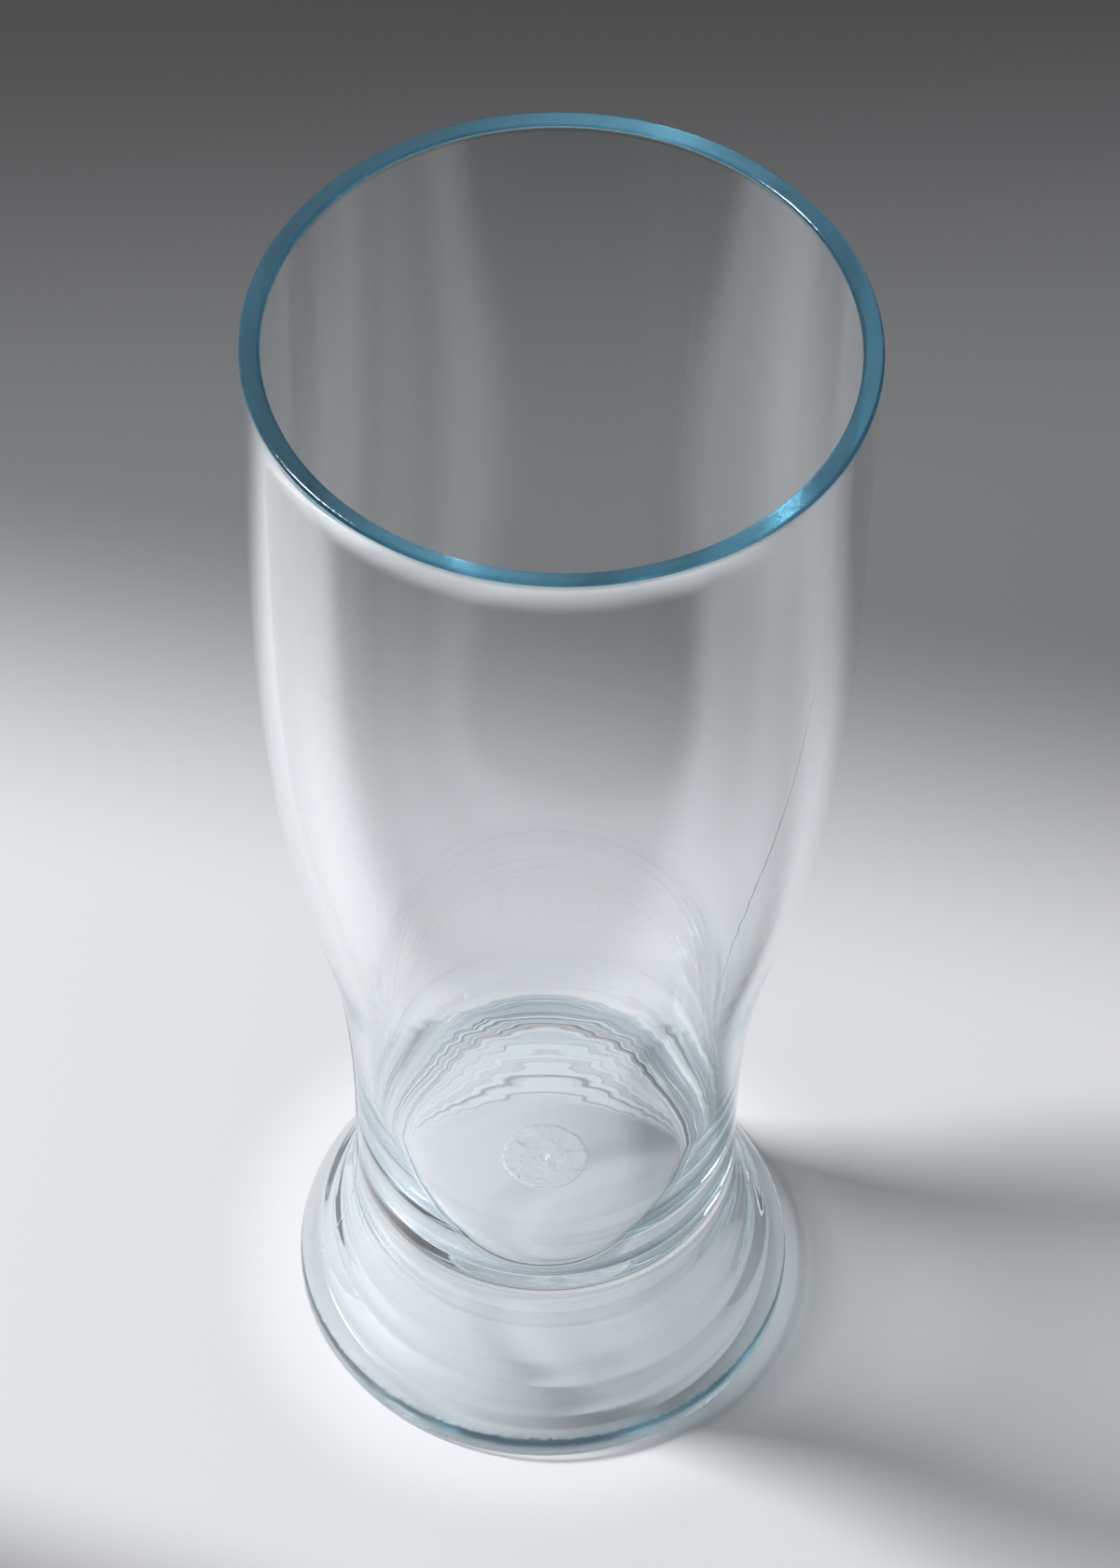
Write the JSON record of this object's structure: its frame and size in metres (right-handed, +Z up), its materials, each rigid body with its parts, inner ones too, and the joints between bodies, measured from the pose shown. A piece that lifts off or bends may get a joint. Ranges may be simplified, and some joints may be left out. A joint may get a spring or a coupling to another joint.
{
  "type": "wheat beer glass",
  "caption": "Tall clear drinking glass with a wide straight mouth, a drawn-in waist, a thin inside floor and a hollow foot that flares out in soft rings, for wheat beer.",
  "frame": {"origin": "middle of the flat ring that the glass stands on", "axes": "+Z up along the axis of the glass, +X to the right of the picture's view, +Y away from its camera"},
  "size_m": [0.084, 0.084, 0.2136],
  "materials": {
    "bowl_glass": "clear with a blue edge tint",
    "foot_glass": "clear with a blue edge tint"
  },
  "bodies": {
    "root": {"bowl": "bowl_glass", "foot": "foot_glass"}
  },
  "joints": []
}
